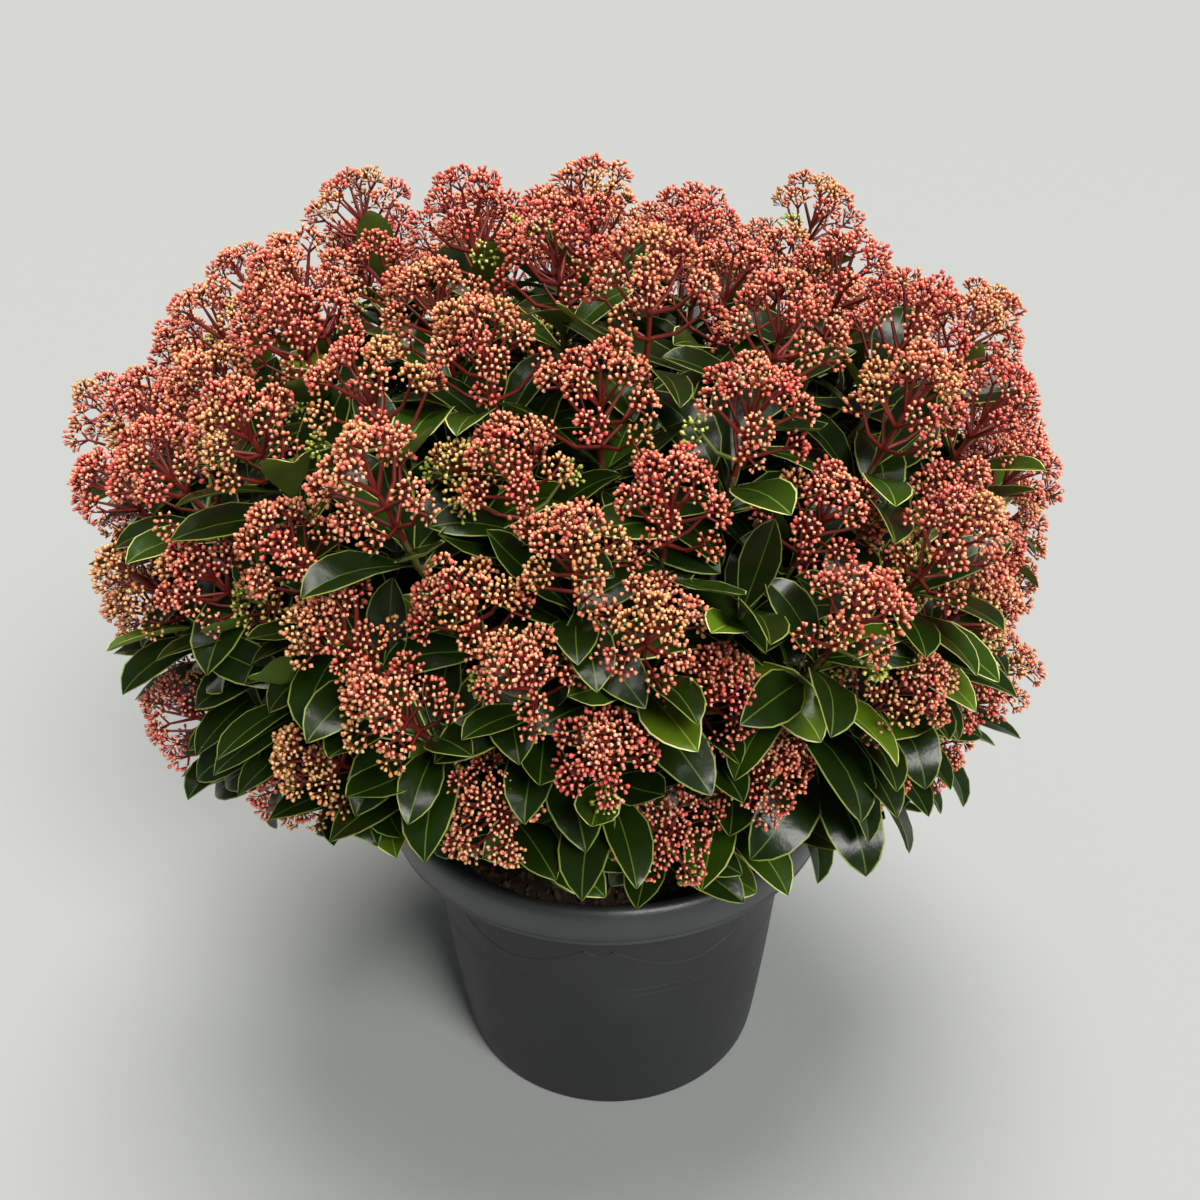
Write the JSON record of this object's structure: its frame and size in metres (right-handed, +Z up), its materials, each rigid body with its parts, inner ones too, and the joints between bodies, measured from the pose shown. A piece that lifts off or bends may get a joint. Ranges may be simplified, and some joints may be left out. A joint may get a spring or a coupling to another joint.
{
  "type": "potted skimmia shrub",
  "caption": "Compact evergreen shrub in a round rolled-rim pot: a dome of leathery leaves under many heads of small round red buds.",
  "frame": {"origin": "middle of the pot's flat underside", "axes": "+Z up along the pot, +X to the plant's right as seen from the front, -Y towards the front"},
  "size_m": [0.5794, 0.4997, 0.5657],
  "materials": {
    "pot": "matt charcoal plastic with a satin rim",
    "soil": "damp potting soil of peat and bark",
    "bark": "fine grey-brown bark with low ridges",
    "foliage": "glossy leathery leaves with pale edges under heads of red buds"
  },
  "bodies": {
    "root": {"pot": "pot", "soil": "soil", "stem": "bark", "bough_01": "bark", "bough_02": "bark", "bough_03": "bark", "bough_04": "bark", "bough_05": "bark", "bough_06": "bark", "bough_07": "bark", "bough_08": "bark", "bough_09": "bark", "bough_10": "bark", "bough_11": "bark", "bough_12": "bark", "bough_13": "bark", "bough_14": "bark", "bough_15": "bark", "bough_16": "bark", "bough_17": "bark", "bough_18": "bark", "mass_01": "foliage", "mass_02": "foliage", "mass_03": "foliage", "mass_04": "foliage", "mass_05": "foliage", "mass_06": "foliage", "mass_07": "foliage", "mass_08": "foliage", "mass_09": "foliage", "mass_10": "foliage", "mass_11": "foliage", "mass_12": "foliage", "mass_13": "foliage", "mass_14": "foliage", "mass_15": "foliage", "mass_16": "foliage", "mass_17": "foliage", "mass_18": "foliage"}
  },
  "joints": []
}
